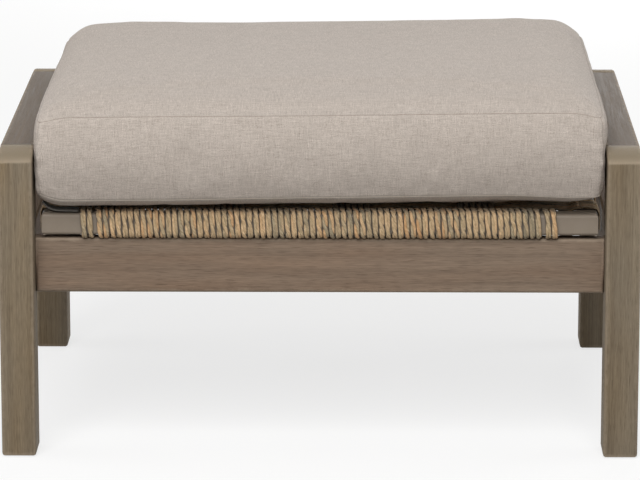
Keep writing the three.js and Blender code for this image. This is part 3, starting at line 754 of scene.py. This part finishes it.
cushion = {
    "cells": (104, 88, 22), "seamRows": (0.0, 0.0013, 0.0034, 0.0075), "halfWidth": 0.3245,
    "front": 0.2748, "rear": 0.2680, "lean": 0.0045, "corner": 0.010, "topSeam": 0.4046,
    "bottomSeam": 0.3073, "tilt": 0.0110, "rest": 0.2890, "crown": 0.0198, "dome": 0.0012,
    "topTurns": (0.0148, 0.048), "underTurns": (0.0125, 0.037),
    "frontLine": ((-0.15, 0.0), (0.0, 0.0012), (0.12, 0.0016), (0.22, 0.0016), (0.285, -0.0020)),
    "frontLift": ((-0.15, 0.0), (0.20, 0.0036), (0.24, 0.0032), (0.30, 0.0004)),
    "cornerLift": (0.0060, 0.0), "cornerDrop": 0.0055, "cornerReach": (0.016, 0.018), "liftReach": 0.045,
    "frontBulge": 0.0118, "sideBulge": 0.0042,
    "leftBulge": (0.0004, 0.0042), "rightBulge": (0.0026, 0.0050), "rearBulge": 0.0040,
    "armTop": 0.3632, "clearSide": 0.3294, "zipBand": 0.020, "zipHeight": 0.3472, "zipBack": 0.2721,
    "zipReach": 0.275, "groove": 0.0010, "cornerDimple": 0.0026, "pucker": 0.0018, "puckerReach": 0.013,
    "cap": 0.0016,
}

cover = {
    "quality": 5, "mass": 0.3, "tension_stiffness": 25, "compression_stiffness": 25, "shear_stiffness": 10,
    "bending_stiffness": 0.6, "use_pressure": True, "uniform_pressure_force": 1.2, "shrink_min": -0.002,
}

cloth = {
    "thread": 0.00072, "middle": (190, 178, 167), "dark": (153, 141, 131), "light": (217, 206, 196),
    # the seam colour is painted shade along the seams, the stitch colour a painted highlight along the bottom seam
    "cloud": (178, 169, 160), "gap": (124, 112, 102), "seam": (120, 104, 92), "stitch": (240, 230, 215),
    # the gap colour is painted shade between the threads, shown where the weave is low
    "gapShadeShow": (0.0, 0.35, 0.35, 0.0), "bump": (0.5, 0.0003), "roughness": 0.92,
    "sockets": {"Specular IOR Level": 0.2, "Sheen Weight": 0.1, "Sheen Roughness": 0.6},
}


def selectAlong(piece, axis):
    # selects the edges of a box that run along one axis
    mesh = bmesh.from_edit_mesh(piece.data)
    for edge in mesh.edges:
        run = edge.verts[1].co - edge.verts[0].co
        edge.select_set(abs(run[axis]) > 0.99 * run.length)
    bmesh.update_edit_mesh(piece.data)


def boxOfCells(cells):
    piece = made(bpy.ops.mesh.primitive_cube_add, size=2)
    bpy.ops.object.mode_set(mode="EDIT")
    bpy.ops.mesh.select_mode(type="EDGE")
    for axis in range(3):
        bpy.ops.mesh.select_all(action="DESELECT")
        selectAlong(piece, axis)
        bpy.ops.mesh.subdivide(number_cuts=cells[axis] - 1)
    bpy.ops.object.mode_set(mode="OBJECT")
    return piece


def stations(length, cells):
    # distances along a panel, closer together beside the seams
    rows = np.array(cushion["seamRows"])
    inner = np.linspace(rows[-1], length - rows[-1], cells - 2 * (len(rows) - 1) + 1)
    return np.concatenate([rows[:-1], inner, length - rows[:-1][::-1]])


def sidePanel(share, half, radius):
    # along a side and into its rounded corners, as far as the seam at 45 degrees
    reach = (half - radius) + radius * math.pi / 4
    place = (2 * share - 1) * reach
    past = np.maximum(0, np.abs(place) - (half - radius)) / radius
    along = np.sign(place) * (np.minimum(np.abs(place), half - radius) + radius * np.sin(past))
    inset = radius * (1 - np.cos(past))
    return along, inset, np.sign(place) * np.sin(past), np.cos(past), reach - np.abs(place)


def bulgeAt(rise, face, shares):
    # how far a side stands out at this share of the height between its two seams
    if face in ("front", "rear"):
        belly = rise ** (1.12 if face == "front" else 1.0)
        return cushion[face + "Bulge"] * (4 * belly * (1 - belly)) ** 0.8
    upright = (1 - np.exp(-(1 - rise) / 0.06)) * (1 - np.exp(-rise / 0.06))
    over = np.clip((rise - 0.56) / 0.16, 0, 1)
    over = over**2 * (3 - 2 * over) * upright
    middle = np.sin(math.pi * shares) ** 0.75
    atCorner, atMiddle = cushion[face + "Bulge"]
    return cushion["sideBulge"] * upright + (atCorner + (atMiddle - atCorner) * middle) * over


def sideRing(face, shares, rise):
    # points of one side panel at one height
    centreY = (cushion["rear"] - cushion["front"]) / 2
    half, halfY = cushion["halfWidth"], (cushion["rear"] + cushion["front"]) / 2
    reach = half if face in ("front", "rear") else halfY
    along, inset, sideways, outwards, toSeam = sidePanel(shares, reach, cushion["corner"])
    full = 0.72 + 0.28 * (1 - np.exp(-toSeam / 0.02))
    push = bulgeAt(rise, face, shares) * full
    depth = push * outwards - inset
    along = along + push * sideways
    onRight = along > 0 if face in ("front", "rear") else face == "right"
    cornerLift = np.where(onRight, cushion["cornerLift"][1], cushion["cornerLift"][0])
    bottom = cushion["bottomSeam"] + cornerLift * np.exp(-((toSeam / cushion["cornerReach"][0]) ** 2))
    top = cushion["topSeam"] - cushion["cornerDrop"] * np.exp(-((toSeam / cushion["cornerReach"][1]) ** 2))
    height = bottom + (top - bottom) * rise
    if face == "front":
        height = height + (1 - rise) * np.interp(along, *zip(*cushion["frontLine"]))
    x, y = {
        "front": (along, -cushion["front"] - depth), "rear": (along, cushion["rear"] + depth),
        "left": (-half - depth, centreY + along), "right": (half + depth, centreY + along),
    }[face]
    return np.stack([x, y, height + cushion["tilt"] * x], axis=-1)


def patch(front, rear, left, right, u, v):
    # a surface that meets its four border lines
    u, v = u[:, None, None], v[None, :, None]
    blend = (1 - v) * front[:, None] + v * rear[:, None] + (1 - u) * left[None] + u * right[None]
    corners = (1 - u) * (1 - v) * front[0] + u * (1 - v) * front[-1] + (1 - u) * v * rear[0] + u * v * rear[-1]
    return blend - corners


def fadeFromSeams(distances, length, turn, frontTurn=None):
    # 0 on the two seams of a panel, near 1 inside; the front seam can have a wider turn
    return (1 - np.exp(-distances / (frontTurn or turn))) * (1 - np.exp(-(length - distances) / turn))


def cushionPoints():
    # positions of all the lattice points, by their three indices
    lengthX, lengthY = 2 * cushion["halfWidth"], cushion["front"] + cushion["rear"]
    lengths = (lengthX, lengthY, cushion["topSeam"] - cushion["bottomSeam"])
    alongX, alongY, alongZ = [stations(length, cells) for length, cells in zip(lengths, cushion["cells"])]
    u, v, w = alongX / lengthX, alongY / lengthY, alongZ / lengths[2]
    points = np.zeros((len(u), len(v), len(w), 3))
    for k, rise in enumerate(w):
        points[:, 0, k], points[:, -1, k] = sideRing("front", u, rise), sideRing("rear", u, rise)
        points[0, :, k], points[-1, :, k] = sideRing("left", v, rise), sideRing("right", v, rise)
    fadeTop, fadeUnder = [
        fadeFromSeams(alongX, lengthX, turn)[:, None] * fadeFromSeams(alongY, lengthY, turn, frontTurn)[None]
        for turn, frontTurn in (cushion["topTurns"], cushion["underTurns"])
    ]
    dome = np.sin(math.pi * u)[:, None] * np.sin(math.pi * v)[None]
    for k in (0, -1):
        sheet = patch(points[:, 0, k], points[:, -1, k], points[0, :, k], points[-1, :, k], u, v)
        if k == 0:
            lift = np.interp(points[:, 0, 0, 0], *zip(*cushion["frontLift"]))[:, None]
            lift = lift * np.exp(-alongY / cushion["liftReach"])[None]
            sheet[..., 2] -= (sheet[..., 2] - cushion["rest"] - lift) * fadeUnder
        else:
            sheet[..., 2] += cushion["crown"] * fadeTop + cushion["dome"] * dome
        points[1:-1, 1:-1, k] = sheet[1:-1, 1:-1]
    points[..., 1] += cushion["lean"] * w * np.clip(-points[..., 1] / cushion["front"], 0, 1)
    return points, (alongX, alongY, alongZ)


def unevenness(point, toCorner):
    # slow hollows of the filling, and short ripples that die out away from the corner seams
    slow = noise.noise((point[0] * 7, point[1] * 7, point[2] * 9)) * 0.0012
    slow += noise.noise((point[0] * 19 + 4, point[1] * 19, point[2] * 19)) * 0.0004
    ripple = noise.noise((point[2] * 85, 3.1 * math.copysign(1, point[0]), 5.2 * math.copysign(1, point[1])))
    return slow + cushion["pucker"] * ripple * 2 * math.exp(-toCorner / cushion["puckerReach"])


def shapeCushion():
    cells = cushion["cells"]
    piece = boxOfCells(cells)
    piece.name = "cushion"
    mesh = piece.data
    lattice = np.array([v.co for v in mesh.vertices])
    index = np.rint((lattice + 1) / 2 * np.array(cells)).astype(int)
    points, along = cushionPoints()
    places = points[index[:, 0], index[:, 1], index[:, 2]]
    flat = np.stack([along[axis][index[:, axis]] for axis in range(3)], axis=-1)
    layer = mesh.uv_layers.active or mesh.uv_layers.new(name="UVMap")
    for polygon in mesh.polygons:
        normal = polygon.normal
        facing = max(range(3), key=lambda axis: abs(normal[axis]))
        across, up = [(1, 2), (0, 2), (0, 1)][facing]
        for corner in polygon.loop_indices:
            vertex = mesh.loops[corner].vertex_index
            layer.data[corner].uv = (flat[vertex, across] + 1.3 * facing, flat[vertex, up])
    moveVertices(mesh, places)
    return piece, index


def rowsFromSeam(index):
    # how many rows each point lies from the nearest seam
    cells = np.array(cushion["cells"])
    rows = np.minimum(index, cells - index)
    rows.sort(axis=1)
    return rows[:, 1]


def keepClear(places):
    # clear of the arms and legs below the arms' top, and resting flat on the seat
    below = places[:, 2] < cushion["armTop"]
    limit = np.where(below, cushion["clearSide"], 1.0)
    places[:, 0] = np.clip(places[:, 0], -limit, limit)
    places[:, 2] = np.maximum(places[:, 2], cushion["rest"])
    zipRow = (places[:, 1] > 0.25) & (np.abs(places[:, 2] - cushion["zipHeight"]) < cushion["zipBand"])
    places[:, 1] = np.where(zipRow, np.minimum(places[:, 1], cushion["zipBack"]), places[:, 1])
    return places


def swell(piece, index):
    # the cover is sewn a little larger than its filling and blown up between its held seams
    mesh = piece.data
    before = vertexData(mesh)
    held = piece.vertex_groups.new(name="held")
    rows = rowsFromSeam(index)
    seams = np.where(rows <= 1)[0]
    resting = np.where((index[:, 2] == 0) & (before[:, 2] < cushion["rest"] + 0.001))[0]
    zipRow = (before[:, 1] > 0.26) & (np.abs(before[:, 2] - cushion["zipHeight"]) < cushion["zipBand"])
    zipped = np.where(zipRow & (np.abs(before[:, 0]) < cushion["zipReach"]))[0]
    held.add([int(i) for i in np.unique(np.concatenate([seams, resting, zipped]))], 1.0, "REPLACE")
    simulation = piece.modifiers.new("swell", "CLOTH")
    settings = simulation.settings
    for name, value in cover.items():
        setattr(settings, name, value)
    settings.vertex_group_mass = "held"
    settings.effector_weights.gravity = 0
    simulation.collision_settings.use_collision = False
    scene = bpy.context.scene
    for step in range(1, 21):
        scene.frame_set(step)
    activate(piece)
    bpy.ops.object.modifier_apply(modifier="swell")
    scene.frame_set(1)
    move = vertexData(mesh) - before
    size = np.linalg.norm(move, axis=1, keepdims=True)
    move *= np.minimum(1.0, cushion["cap"] / np.maximum(size, 1e-9))
    moveVertices(mesh, before + move)
    piece.vertex_groups.clear()
    print("cushion swelled by up to", round(float(size.max()) * 1000, 1), "mm")


def sewCushion():
    piece, index = shapeCushion()
    swell(piece, index)
    mesh = piece.data
    places, normals = vertexData(mesh), vertexData(mesh, "normal")
    rows = rowsFromSeam(index)
    cornerY = np.where(places[:, 1] < 0, cushion["front"] - cushion["lean"] / 2, cushion["rear"])
    sideways = np.maximum(0, cushion["halfWidth"] - np.abs(places[:, 0]))
    toCorner = np.hypot(sideways, np.maximum(0, cornerY - np.abs(places[:, 1])))
    for i in np.where(rows > 0)[0]:
        places[i] += normals[i] * unevenness(places[i], toCorner[i])
    onSeam = rows == 0
    places[onSeam] -= normals[onSeam] * cushion["groove"]
    ends = np.all((index == 0) | (index == np.array(cushion["cells"])), axis=1)
    places[ends] -= normals[ends] * cushion["cornerDimple"]
    # painted shade along the seams: 1 on the top seam, 0.8 and 0.5 on the upper and lower half of the corner seams; -1
    # on the bottom seam, where a highlight is painted
    upper = places[:, 2] > (cushion["topSeam"] + cushion["bottomSeam"]) / 2
    seam = np.where(onSeam, np.where(upper, 0.8, 0.5), 0.0)
    seam[onSeam & (index[:, 2] == cushion["cells"][2])] = 1.0
    seam[onSeam & (index[:, 2] == 0)] = -1.0
    mesh.attributes.new("seam", "FLOAT", "POINT").data.foreach_set("value", seam.astype(np.float32))
    moveVertices(mesh, keepClear(places))
    shadeSmooth(mesh)
    smooth = piece.modifiers.new("smooth", "SUBSURF")
    smooth.levels = smooth.render_levels = 1
    smooth.uv_smooth = "NONE"
    activate(piece)
    bpy.ops.object.modifier_apply(modifier="smooth")
    moveVertices(piece.data, keepClear(vertexData(piece.data)))
    return piece


def wovenMaterial(name, look):
    # woven threads, with painted shade in the gaps between them; cloth also has clouds of dust, and painted shade and a
    # painted highlight along its seams
    material, tree, shader = newMaterial(name, look["middle"], look["roughness"], look["sockets"])
    uv = coordinates(tree, "UV")
    threads = useGroup(tree, weave, {"Vector": uv, "Spacing": look["thread"]})
    color = tinted(tree, linear(look["dark"]), threads["Tone"], (0.36, 0.74), look["light"])
    if "cloud" in look:
        color = tinted(tree, color, clouds(tree, uv, 24, 3, 0.6), (0.35, 0.65, 0.0, 0.2), look["cloud"])
    # painted shade between the threads, where the weave is low
    color = tinted(tree, color, threads["Height"], look["gapShadeShow"], look["gap"])
    if "seam" in look:
        # painted shade along the top and corner seams, and a painted highlight along the bottom seam
        seam = addNode(tree, "Attribute", {}, attribute_name="seam").outputs["Fac"]
        color = tinted(tree, color, seam, (0.3, 0.9, 0.0, 0.5), look["seam"])
        color = tinted(tree, color, seam, (-0.3, -0.9, 0.0, 0.85), look["stitch"])
    wire(tree, shader, color, None, threads["Height"], *look["bump"])
    return material


fabric = wovenMaterial("cushionCloth", cloth)
cushionPiece = sewCushion()
dress(cushionPiece, fabric, "cushion")
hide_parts("cushion_cover", "cushion_foam")
print("cushion sewn:", len(cushionPiece.data.polygons), "faces")


# Zip in the back of the cover

zipper = {
    "tapeHalf": 0.0125, "tapePast": 0.012, "tapeThickness": 0.0004, "toothPitch": 0.0016,
    "toothSize": (0.0011, 0.0007, 0.0026), "color": (170, 158, 146), "teethColor": (150, 140, 128),
    "hardwareColor": (120, 111, 100),
}


def zipMaterial(name, color):
    material, tree, shader = newMaterial(name, color, 0.55)
    place = coordinates(tree)
    ribs = clouds(tree, place, (2400, 300, 900), 2, 0.6)
    shade = clouds(tree, place, 90, 3, 0.6)
    dark = tuple(value * 0.6 for value in linear(color)[:3]) + (1.0,)
    mixed = blended(tree, ranged(tree, ribs, 0.3, 0.7, 0.0, 0.45), linear(color), dark)
    wire(tree, shader, mixed, ranged(tree, shade, 0.35, 0.65, 0.45, 0.65), ribs, 0.4, 0.0002)
    return material


def makeZip():
    low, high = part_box("zip_chain")
    middleZ, back = (low.z + high.z) / 2, high.y
    tape = zipper["tapeHalf"]
    end = high.x + zipper["tapePast"]
    band = made(
        bpy.ops.mesh.primitive_grid_add,
        size=1, x_subdivisions=90, y_subdivisions=6, rotation=(math.radians(90), 0, 0),
    )
    band.name = "zip_tape"
    bpy.ops.object.transform_apply(rotation=True)
    for vertex in band.data.vertices:
        x, z = vertex.co.x * 2 * end, vertex.co.z * 2 * tape
        vertex.co = (x, back - 0.0006 - 0.0002 * abs(z / tape), middleZ + z)
    thicken(band, zipper["tapeThickness"])
    dress(band, zipMaterial("zipTape", zipper["color"]), "cushion")

    tooth = made(bpy.ops.mesh.primitive_cube_add, size=1, scale=zipper["toothSize"])
    bpy.ops.object.transform_apply(scale=True)
    bpy.ops.object.mode_set(mode="EDIT")
    bpy.ops.mesh.select_all(action="SELECT")
    bpy.ops.mesh.bevel(offset=0.00025, segments=1)
    bpy.ops.object.mode_set(mode="OBJECT")
    count = int((high.x - low.x) / zipper["toothPitch"])
    places = []
    for i in range(count):
        x = low.x + (i + 0.5) * zipper["toothPitch"]
        side = 1 if i % 2 else -1
        places.append(((x, back - 0.0003, middleZ + side * 0.0011), np.identity(3)))
    teeth = copiesOf(tooth, "zip_teeth", places)
    dress(teeth, zipMaterial("zipTeeth", zipper["teethColor"]), "cushion")
    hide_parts("zip_chain")
    hardware = zipMaterial("zipHardware", zipper["hardwareColor"])
    finishNode("zip_slider", hardware)
    finishNode("zip_pull", hardware)


makeZip()
print("zip made")


# Fastening straps under the front corners of the cushion

strap = {
    "width": 0.020, "length": 0.046, "thickness": 0.0011, "rows": 12, "steps": 26, "thread": 0.0011,
    "middle": (118, 114, 109), "dark": (98, 94, 89), "light": (138, 134, 128), "gap": (72, 68, 63),
    # the gap colour is painted shade between the threads, shown where the weave is low
    "gapShadeShow": (0.0, 0.4, 0.4, 0.0), "bump": (0.7, 0.0004), "roughness": 0.85, "sockets": {"Sheen Weight": 0.1},
    "rightLine": ((0.3205, 0.3115), (0.3232, 0.300), (0.3255, 0.288), (0.3260, 0.2650)), "rightTwist": 0.10,
    "leftLine": ((-0.3205, 0.2975), (-0.3150, 0.2912), (-0.3060, 0.2878), (-0.2795, 0.2871)), "leftTwist": 0.0,
}


def makeStrap(name, line, twist, node):
    # line is the strap's path in x and z; it turns a little as it hangs
    line = np.array(line)
    run = np.concatenate([[0], np.cumsum(np.linalg.norm(np.diff(line, axis=0), axis=1))])
    shares = np.linspace(0, 1, strap["steps"])
    place = shares * strap["length"]
    scale = run[-1] / strap["length"]
    xs, zs = [np.interp(place * scale, run, values) for values in line.T]
    for _ in range(2):
        for values in (xs, zs):
            values[1:-1] = (values[:-2] + 2 * values[1:-1] + values[2:]) / 4
    low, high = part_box(node)
    middleY = (low.y + high.y) / 2
    vertices, faces, uvs = [], [], []
    rows = strap["rows"]
    for x, z, share in zip(xs, zs, shares):
        angle = twist * share**2
        for across in [(k / rows - 0.5) * strap["width"] for k in range(rows + 1)]:
            vertices.append((x + math.sin(angle) * across, middleY + math.cos(angle) * across, z))
    for i in range(strap["steps"] - 1):
        for k in range(rows):
            a = i * (rows + 1) + k
            faces.append((a, a + 1, a + rows + 2, a + rows + 1))
            for row, column in ((i, k), (i, k + 1), (i + 1, k + 1), (i + 1, k)):
                uvs.append((column / rows * strap["width"], place[row]))
    piece = meshPiece(name, vertices, faces, uvs)
    thicken(piece, strap["thickness"])
    dress(piece, webbing, "cushion")
    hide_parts(node)
    return piece


webbing = wovenMaterial("webbing", strap)
hanging = makeStrap("right_strap", strap["rightLine"], strap["rightTwist"], "right_cushion_strap")
tucked = makeStrap("left_strap", strap["leftLine"], strap["leftTwist"], "left_cushion_strap")
print("straps made")


# Studio: pale floor, white surroundings, large soft lamps

studio = {
    "floorSize": 30,
    "floorSeen": (250, 250, 249),
    "floorBounce": (165, 163, 160),
    "floorGlow": 0.72,
    "aim": (0, 0, 0.25),
    "surround": 0.21,
    # each lamp's place, size and power
    "lamps": {
        "key": ((-0.3, -3.0, 3.2), 3.0, 166),
        "left": ((-3.5, 0.3, 1.15), 2.0, 30),
        "right": ((3.5, 0.5, 1.15), 2.0, 30),
        "rear": ((0.4, 3.7, 1.25), 2.2, 44),
    },
}


def seenOnly(tree):
    # 1 for rays from the camera and for reflections and glass
    path = tree.nodes.new("ShaderNodeLightPath")
    seen = calculate(tree, "MAXIMUM", path.outputs["Is Camera Ray"], path.outputs["Is Glossy Ray"])
    return calculate(tree, "MAXIMUM", seen, path.outputs["Is Transmission Ray"])


def makeStudio():
    world = bpy.data.worlds.new("studio")
    bpy.context.scene.world = world
    world.use_nodes = True
    tree = world.node_tree
    background = tree.nodes["Background"]
    background.inputs["Color"].default_value = (1, 1, 1, 1)
    strength = ranged(tree, seenOnly(tree), 0.0, 1.0, studio["surround"], 1.0)
    tree.links.new(strength, background.inputs["Strength"])

    floor = made(bpy.ops.mesh.primitive_plane_add, size=studio["floorSize"])
    floor.name = "floor"
    material, tree, shader = newMaterial("paleFloor", studio["floorSeen"], 0.9, {"Specular IOR Level": 0.0})
    shade = blended(tree, seenOnly(tree), linear(studio["floorBounce"]), linear(studio["floorSeen"]))
    tree.links.new(shade, shader.inputs["Base Color"])
    glow = addNode(tree, "Emission", {"Color": (1, 1, 1, 1), "Strength": 1.0})
    lit = times(tree, seenOnly(tree), studio["floorGlow"])
    mixed = addNode(tree, "MixShader", {0: lit, 1: shader.outputs[0], 2: glow.outputs[0]})
    tree.links.new(mixed.outputs[0], tree.nodes["Material Output"].inputs["Surface"])
    floor.data.materials.append(material)

    for name, (place, size, power) in studio["lamps"].items():
        bpy.ops.object.light_add(type="AREA", location=place)
        light = bpy.context.active_object
        light.name = name
        light.data.size = size
        light.data.energy = power
        aim = np.array(studio["aim"]) - np.array(place)
        light.rotation_euler = (math.atan2(math.hypot(aim[0], aim[1]), -aim[2]), 0, math.atan2(-aim[0], aim[1]))


makeStudio()
